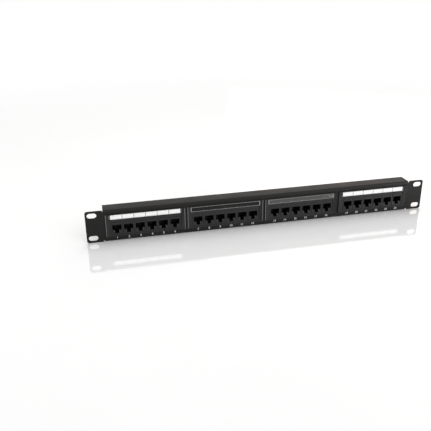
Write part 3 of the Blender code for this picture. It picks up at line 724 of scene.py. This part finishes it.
def store_ink(piece, colours):
    """Keep a colour for every corner point of a piece, one row each."""
    layer = piece.data.attributes.new("ink", "FLOAT_COLOR", "POINT")
    layer.data.foreach_set("color", np.asarray(colours, float).ravel())


prints = []
for number in MODULES:
    for index, offset in enumerate(PORT_OFFSETS):
        points, faces = figures(str((number - 1) * PORTS + index + 1), NUMBER_SIZE, PRINT_THICK)
        place = np.array((MODULE_X[number] + offset, FACE_Y - PRINT_THICK / 2, NUMBER_HEIGHT))
        prints.append((points + place, faces))
port_numbers = add_piece("port_numbers", join(*prints), INK)
store_ink(port_numbers, np.tile((*PRINT_WHITE, 1.0), (len(port_numbers.data.vertices), 1)))
print("port numbers:", len(prints))

# %% [markdown]
# ## Spring contacts
# Inside each socket lie eight sprung wires, plated with gold, that rise from a plastic sled at the back
# towards the mouth. A wire is a small circle carried along a path, and all wires of a module are one array.

# %% Spring contacts
CONTACTS = 8
CONTACT_PITCH = 1.02 * MM
WIRE_RADIUS = 0.2 * MM
WIRE_BACK, WIRE_TIP = 15.2 * MM, 6.4 * MM
WIRE_STEPS, WIRE_SIDES = 18, 10
SLED_FRONT, SLED_BACK = 12.5 * MM, 15.7 * MM
SLED_LOW, SLED_HIGH = (corner.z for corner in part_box("contact_set_1"))
SLED_HALF = 43.1 * MM
SLED_CORNER, SLED_EDGE = 0.2 * MM, 0.1 * MM
TIP_HEIGHT = SLED_HIGH - WIRE_RADIUS


def contact_wires(centre):
    """Tubes for all contacts of a module.

    Along a wire, depth falls evenly from back to tip. Its height stays at the sled's middle until the
    sled's front and then rises by the smooth step 3t^2 - 2t^3. A circle stands square to each point: its
    two directions are x and the path's own normal.
    """
    along = np.linspace(0, 1, WIRE_STEPS)
    depth = WIRE_BACK + (WIRE_TIP - WIRE_BACK) * along
    rise = np.clip((SLED_FRONT - depth) / (SLED_FRONT - WIRE_TIP), 0, 1)
    middle = (SLED_LOW + SLED_HIGH) / 2
    height = middle + (TIP_HEIGHT - middle) * rise * rise * (3 - 2 * rise)
    slope = np.stack((np.gradient(depth), np.gradient(height)), -1)
    slope /= np.linalg.norm(slope, axis=1, keepdims=True)
    angle = np.linspace(0, 2 * np.pi, WIRE_SIDES, endpoint=False)
    first = (np.arange(CONTACTS) - (CONTACTS - 1) / 2) * CONTACT_PITCH
    x0 = (centre + PORT_OFFSETS[:, None] + first).reshape(-1, 1, 1)
    x = x0 + WIRE_RADIUS * np.cos(angle) + np.zeros((1, len(along), 1))
    y = FACE_Y + depth[:, None] - WIRE_RADIUS * np.sin(angle) * slope[:, 1:2]
    z = height[:, None] + WIRE_RADIUS * np.sin(angle) * slope[:, 0:1]
    return np.stack((x, np.broadcast_to(y, x.shape), np.broadcast_to(z, x.shape)), -1)


for number in MODULES:
    wires = contact_wires(MODULE_X[number])
    add_piece(f"contact_wires_{number}", skin(wires), GOLD,
              stands_for=[f"contact_set_{number}"])
    low = (MODULE_X[number] - SLED_HALF, FACE_Y + SLED_FRONT, SLED_LOW)
    high = (MODULE_X[number] + SLED_HALF, FACE_Y + SLED_BACK, SLED_HIGH)
    add_piece(f"contact_sled_{number}", skin(rounded_slabs(low, high, SLED_CORNER, SLED_EDGE)),
              BLACK_MOULDING)
print("contacts in a module:", wires.shape[0])

# %% [markdown]
# ## Paper labels
# A strip of white paper with six cells lies in the first and last label recess. The strip is one slab, and
# the rules between its cells are thin slabs of ink on top, which stay sharp where a texture would blur.

# %% Paper labels
PAPERED = (1, 4)
PAPER_CORNER, PAPER_EDGE = 0.4 * MM, 0.05 * MM
CELL_EDGES = PORT_OFFSETS[:-1] + PORT_PITCH / 2
RULE_WIDTH = 0.6 * MM
RULE_GREY = (0.08, 0.08, 0.08)
INK_CORNER, INK_EDGE = 0.04 * MM, 0.004 * MM


def paper_print(low, high):
    """Thin slabs of ink on a label: five upright rules between its six cells."""
    rules = (low[0] + high[0]) / 2 + CELL_EDGES
    front = low[1] - PRINT_THICK
    return [((x - RULE_WIDTH / 2, front, low[2]), (x + RULE_WIDTH / 2, low[1], high[2]), RULE_GREY)
            for x in rules]


def add_ink(name, rows):
    """One piece of print from rows of low corner, high corner and colour."""
    low, high, colours = (np.array(part) for part in zip(*rows))
    points = rounded_slabs(low, high, INK_CORNER, INK_EDGE, corner_steps=2, edge_steps=1)
    piece = add_piece(name, skin(points), INK)
    solid = np.concatenate((colours, np.ones((len(rows), 1))), 1)
    store_ink(piece, np.repeat(solid, points.shape[1] * points.shape[2], axis=0))


for number in PAPERED:
    low, high = node_box(f"paper_label_{number}")
    add_piece(f"paper_strip_{number}", skin(rounded_slabs(low, high, PAPER_CORNER, PAPER_EDGE)), PAPER,
              stands_for=[f"paper_label_{number}"])
    add_ink(f"paper_rules_{number}", paper_print(low, high))
print("paper labels:", len(PAPERED))

# %% [markdown]
# ## Label covers
# A plastic cover snaps over each of the four recesses: a thin window, a raised rim round it with small hooks
# along its lower edge, and a tab behind each end. Over paper all of it is clear. Over the two empty holders
# the window is dark and the rim is an opaque light grey, a painted highlight that draws a light line round
# it. No cover casts a shadow, so the lamps still reach the paper.

# %% Label covers
COVER_FINISH = {1: CLEAR, 2: SMOKED, 3: HAZED, 4: CLEAR}
COVER_THICK, COVER_CORNER, COVER_EDGE = 0.8 * MM, 0.3 * MM, 0.12 * MM
TAB_WIDTH, TAB_HALF = 1.4 * MM, 1.5 * MM
# The light grey rims over the empty holders are a painted highlight.
RIM_FINISH = {1: CLEAR, 2: RIM_PAINTED_HIGHLIGHT, 3: RIM_PAINTED_HIGHLIGHT, 4: CLEAR}
RIM_END, RIM_EDGE, RIM_RISE = 1.1 * MM, 0.5 * MM, 0.25 * MM
RIM_CORNER, RIM_EASE = 0.12 * MM, 0.08 * MM
HOOK_HALF, HOOK_HIGH, HOOK_RISE = 0.6 * MM, 1.0 * MM, 0.15 * MM


def cover_slabs(low, high):
    """Corners of a cover's thin window and of the snap tab behind each of its ends."""
    middle = (low[2] + high[2]) / 2
    rows = [((low[0], low[1] + RIM_RISE, low[2]), (high[0], low[1] + COVER_THICK, high[2]))]
    for x in (low[0], high[0] - TAB_WIDTH):
        rows.append(((x, low[1] + COVER_THICK, middle - TAB_HALF),
                     (x + TAB_WIDTH, high[1], middle + TAB_HALF)))
    return (np.array(part) for part in zip(*rows))


def rim_slabs(low, high):
    """Corners of the raised rim: a broad bar at each end, a thin one along the top and the bottom, and a
    small hook on the lower one at each cell's edge."""
    front, back = low[1], low[1] + COVER_THICK / 2
    rows = [((low[0], front, low[2]), (low[0] + RIM_END, back, high[2])),
            ((high[0] - RIM_END, front, low[2]), (high[0], back, high[2])),
            ((low[0] + RIM_END, front, low[2]), (high[0] - RIM_END, back, low[2] + RIM_EDGE)),
            ((low[0] + RIM_END, front, high[2] - RIM_EDGE), (high[0] - RIM_END, back, high[2]))]
    for x in (low[0] + high[0]) / 2 + CELL_EDGES:
        rows.append(((x - HOOK_HALF, front - HOOK_RISE, low[2]), (x + HOOK_HALF, back, low[2] + HOOK_HIGH)))
    return (np.array(part) for part in zip(*rows))


for number in MODULES:
    low, high = node_box(f"label_cover_{number}")
    window = rounded_slabs(*cover_slabs(low, high), COVER_CORNER, COVER_EDGE)
    cover = add_piece(f"clear_cover_{number}", skin(window), COVER_FINISH[number],
                      f"cover_{number}", [f"label_cover_{number}"])
    edging = rounded_slabs(*rim_slabs(low, high), RIM_CORNER, RIM_EASE)
    rim = add_piece(f"cover_rim_{number}", skin(edging), RIM_FINISH[number],
                    f"cover_{number}")
    cover.visible_shadow = False
    rim.visible_shadow = False
print("label covers:", len(MODULES))

# %% [markdown]
# ## Connector blocks
# Behind the boards sit two rows of cream teeth in each module. A wire is pushed into the slot between two
# teeth, where a slit metal clip cuts through its jacket. The whole row is one skin: a section in y and z
# carried along x, whose reach grows to a full tooth and falls to nothing at every slot.

# %% Connector blocks
WIRES = 24
WIRE_PITCH = 3.81 * MM
WIRE_SLOT = 1.5 * MM
BLOCK_BASE = 4.8 * MM
BASE_EASE = 0.35 * MM
TOOTH_TIP = 1.4 * MM
TIP_RISE = 3.6 * MM
TIP_EASE, TIP_ROUND = 0.3 * MM, 0.9 * MM


def toothed_row(low, high):
    """Rings along a row of teeth.

    Nine rings make a tooth. across runs over the tooth's width and reach is the share of its full length,
    nothing at the slot's floor and a shallow arch over the tip. In a ring, out runs from 0 at the root to 1
    at the tip: x moves from the root's width to the tip's, y from the root to the reach, and the half
    height from the bar's to the tip's.
    """
    across = np.array((0.0, 0.0, 0.10, 0.28, 0.5, 0.72, 0.90, 1.0, 1.0))
    reach = np.array((0.0, 0.88, 0.96, 0.99, 1.0, 0.99, 0.96, 0.88, 0.0))
    centre = (low[0] + high[0]) / 2 + (np.arange(WIRES + 1) - WIRES / 2) * WIRE_PITCH
    left, right = centre - (WIRE_PITCH - WIRE_SLOT) / 2, centre + (WIRE_PITCH - WIRE_SLOT) / 2
    left[0], right[-1] = low[0], high[0]
    root_x = (left[:, None] + (right - left)[:, None] * across).reshape(-1, 1)
    tip_x = ((left + right)[:, None] / 2 + TOOTH_TIP * (across - 0.5)).reshape(-1, 1)
    length = np.tile(reach, WIRES + 1)[:, None]
    half, tip_half = (high[2] - low[2]) / 2, TIP_RISE / 2
    out = np.array((0.0, 0.0, 0.0, 0.5, 0.85, 0.97, 1.0, 1.0, 0.97, 0.85, 0.5, 0.0, 0.0, 0.0))
    back = np.array((0.0, BASE_EASE, BLOCK_BASE) + (BLOCK_BASE,) * 8 + (BLOCK_BASE, BASE_EASE, 0.0))
    shrink = np.array((BASE_EASE, 0.0, 0.0, 0.0, 0.0, TIP_EASE, TIP_ROUND))
    side = np.concatenate((half + (tip_half - half) * out[:7] - shrink,
                           -(half + (tip_half - half) * out[7:] - shrink[::-1])))
    moved = np.where(length > 0, out, 0.0)
    x = root_x + (tip_x - root_x) * moved
    y = low[1] + back + (high[1] - low[1] - BLOCK_BASE) * out * length
    z = np.broadcast_to((low[2] + high[2]) / 2 + side, x.shape)
    return np.stack((x, y, z), -1)[None]


print("rings in a row of teeth:", toothed_row(*node_box("connector_block_1_upper")).shape[1])

# %% [markdown]
# ### Slit clips
# In every wire slot stand two metal prongs with a fine slit between them, rooted in the block's bar. They
# are small and many, so all of one row are one array of plain rounded slabs. Each row of teeth is added
# together with its clips.

# %% Slit clips
PRONG_STARTS = (-0.55 * MM, 0.13 * MM)
PRONG_WIDE, PRONG_HALF_HIGH = 0.42 * MM, 0.35 * MM
PRONG_SUNK, PRONG_OUT = 0.6 * MM, 3.4 * MM
PRONG_CORNER, PRONG_EDGE = 0.1 * MM, 0.08 * MM


def slit_clips(low, high):
    """Two prongs in every wire slot, rooted in the bar, with a fine slit between them."""
    slots = (low[0] + high[0]) / 2 + (np.arange(WIRES) + 0.5 - WIRES / 2) * WIRE_PITCH
    start = (slots[:, None] + np.array(PRONG_STARTS)).ravel()
    root = low[1] + BLOCK_BASE
    middle = (low[2] + high[2]) / 2
    ones = np.ones_like(start)
    bottom = np.stack((start, ones * (root - PRONG_SUNK), ones * (middle - PRONG_HALF_HIGH)), -1)
    top = np.stack((start + PRONG_WIDE, ones * (root + PRONG_OUT), ones * (middle + PRONG_HALF_HIGH)), -1)
    return rounded_slabs(bottom, top, PRONG_CORNER, PRONG_EDGE, corner_steps=2, edge_steps=2)


for number in MODULES:
    for row in ("upper", "lower"):
        node = f"connector_block_{number}_{row}"
        low, high = node_box(node)
        add_piece(f"tooth_row_{number}_{row}", skin(toothed_row(low, high)), CREAM_MOULDING,
                  stands_for=[node], crease=32.0)
        clips = slit_clips(low, high)
        add_piece(f"slit_clips_{number}_{row}", skin(clips), ZINC)
print("connector rows:", 2 * len(MODULES), "with", WIRES, "wire slots and", clips.shape[0], "prongs each")

# %% [markdown]
# ## Wiring labels
# Between the rows a white label shows which wire goes where: four pairs of colour patches, with guide lines
# on one side and short pale bars on the other. The marks are written down as they are read, from behind,
# and then mirrored onto the label.

# %% Wiring labels
BROWN, ORANGE = (0.17, 0.022, 0.030), (0.86, 0.25, 0.05)
GREEN, BLUE = (0.05, 0.26, 0.07), (0.03, 0.26, 0.50)
GUIDE_GREEN, GUIDE_RED = (0.16, 0.30, 0.22), (0.48, 0.16, 0.20)
PALE_BLUE, TICK_GREY = (0.40, 0.50, 0.68), (0.10, 0.10, 0.11)
PATCHES = ((BROWN, BROWN), (ORANGE, GREEN), (GREEN, ORANGE), (BLUE, BLUE))
PATCH_START, PATCH_STEP = -15.6 * MM, 9.0 * MM
PATCH_WIDE, PATCH_HIGH, PATCH_GAP = 5.0 * MM, 3.3 * MM, 0.6 * MM
TICK_SHIFT, TICK_WIDE, TICK_HIGH = 3.7 * MM, 0.5 * MM, 0.9 * MM
LINE_HIGH = 0.45 * MM
GUIDE_PLACE, GUIDE_WIDE = -25.5 * MM, 10.5 * MM
GUIDES = ((2.2 * MM, GUIDE_GREEN), (0.2 * MM, GUIDE_RED), (-1.8 * MM, GUIDE_GREEN))
MARK_PLACES, MARK_UP = (-16.0 * MM, 2.0 * MM, 20.0 * MM), 6.6 * MM
MARK_WIDE, MARK_HIGH = 2.0 * MM, 0.5 * MM
BAR_PLACE = 26.5 * MM
BARS = ((3.4 * MM, 7.5 * MM), (1.6 * MM, 6.0 * MM), (-2.0 * MM, 7.0 * MM))


def wiring_rows():
    """Print on a wiring label as centre across, centre up, width, height and colour, seen from the rear."""
    rows = []
    shift = (PATCH_HIGH + PATCH_GAP) / 2
    for column, (upper, lower) in enumerate(PATCHES):
        across = PATCH_START + column * PATCH_STEP
        rows += [(across, shift, PATCH_WIDE, PATCH_HIGH, upper),
                 (across, -shift, PATCH_WIDE, PATCH_HIGH, lower),
                 (across + TICK_SHIFT, 0.0, TICK_WIDE, TICK_HIGH, TICK_GREY)]
    rows += [(GUIDE_PLACE, up, GUIDE_WIDE, LINE_HIGH, colour) for up, colour in GUIDES]
    rows += [(across, up, MARK_WIDE, MARK_HIGH, TICK_GREY)
             for across in MARK_PLACES for up in (MARK_UP, -MARK_UP)]
    rows += [(BAR_PLACE, up, wide, LINE_HIGH, PALE_BLUE) for up, wide in BARS]
    return rows


def wiring_print(low, high):
    """Slabs of ink on the rear of a label: across runs to -x, because the label is read from behind."""
    centre_x, centre_z = (low[0] + high[0]) / 2, (low[2] + high[2]) / 2
    rows = []
    for across, up, wide, tall, colour in wiring_rows():
        x, z = centre_x - across, centre_z + up
        rows.append(((x - wide / 2, high[1], z - tall / 2),
                     (x + wide / 2, high[1] + PRINT_THICK, z + tall / 2), colour))
    return rows


PLATE_CORNER, PLATE_EDGE = 2.0 * MM, 0.1 * MM
for number in MODULES:
    low, high = node_box(f"wiring_label_{number}")
    plate = rounded_slabs(low, high, PLATE_CORNER, PLATE_EDGE, corner_steps=8)
    add_piece(f"wiring_plate_{number}", skin(plate), PAPER,
              stands_for=[f"wiring_label_{number}"])
    add_ink(f"wiring_print_{number}", wiring_print(low, high))
print("wiring labels:", len(MODULES), "patches each:", 2 * len(PATCHES))

# %% [markdown]
# ## Circuit boards
# The boards are flat plates with round corners, and mostly hidden. Their solids are good as they are, so
# they stay and only get the lacquer.

# %% Circuit boards
for number in MODULES:
    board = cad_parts[f"circuit_board_{number}"]
    board.data.materials.clear()
    board.data.materials.append(BOARD)
print("boards:", len(MODULES))

# %% [markdown]
# ## Module screws
# A pan-head screw with a cross recess holds each end of a board. The head is a turned shape, so its points
# are rings about its axis, and the recess is cut into the crown by a second term that depends on the angle.

# %% Module screws
SCREW_PLACES = 64
HEAD_RADIUS = 2.6 * MM
HEAD_EASE = 0.1 * MM
HEAD_RISE = 1.9 * MM
SHANK_RADIUS, TIP_RADIUS = 1.2 * MM, 0.24 * MM
CROWN_RINGS, CROWN_INNER = 30, 0.02
CROWN_DROP = 1.2 * MM
CROSS_HALF_WIDTH, CROSS_REACH, CROSS_DEPTH = 0.35 * MM, 1.5 * MM, 0.9 * MM
CROSS_EDGE = 0.12 * MM


def turned_screw(low, high):
    """Rings of a screw from its tip to the middle of its head, about an axis along y.

    The crown drops by CROWN_DROP * (r / R)^2 from its middle. Inside the cross, where the smaller of |a| and
    |b| is under the half width and the larger under the reach, it sinks by up to CROSS_DEPTH, and a smooth
    step over CROSS_EDGE slopes its walls.
    """
    seat = high[1] - HEAD_RISE
    shank_r = np.array((TIP_RADIUS, SHANK_RADIUS, SHANK_RADIUS, HEAD_RADIUS - HEAD_EASE, HEAD_RADIUS))
    shank_y = np.array((low[1], low[1] + SHANK_RADIUS, seat, seat, seat + HEAD_EASE))
    crown_r = HEAD_RADIUS * np.linspace(1.0, CROWN_INNER, CROWN_RINGS)
    radius = np.concatenate((shank_r, crown_r))[:, None]
    angle = np.linspace(0, 2 * np.pi, SCREW_PLACES, endpoint=False)
    a, b = radius * np.cos(angle), radius * np.sin(angle)
    inner = np.minimum(abs(a), abs(b))
    outer = np.maximum(abs(a), abs(b))
    wall = (np.clip((CROSS_HALF_WIDTH - inner) / CROSS_EDGE, 0, 1)
            * np.clip((CROSS_REACH - outer) / CROSS_EDGE, 0, 1))
    sunk = CROSS_DEPTH * wall * wall * (3 - 2 * wall)
    crown = high[1] - CROWN_DROP * (radius / HEAD_RADIUS) ** 2 - sunk
    on_crown = (np.arange(len(radius)) >= len(shank_r))[:, None]
    plain = np.concatenate((shank_y, np.zeros(len(crown_r))))[:, None]
    y = np.where(on_crown, crown, plain)
    centre_x, centre_z = (low[0] + high[0]) / 2, (low[2] + high[2]) / 2
    return np.stack((centre_x + a, y, centre_z + b), -1)[None]


for number in MODULES:
    for side in ("left", "right"):
        node = f"module_screw_{number}_{side}"
        add_piece(f"pan_screw_{number}_{side}", skin(turned_screw(*node_box(node))), ZINC,
                  stands_for=[node], crease=35.0)
print("module screws:", 2 * len(MODULES))
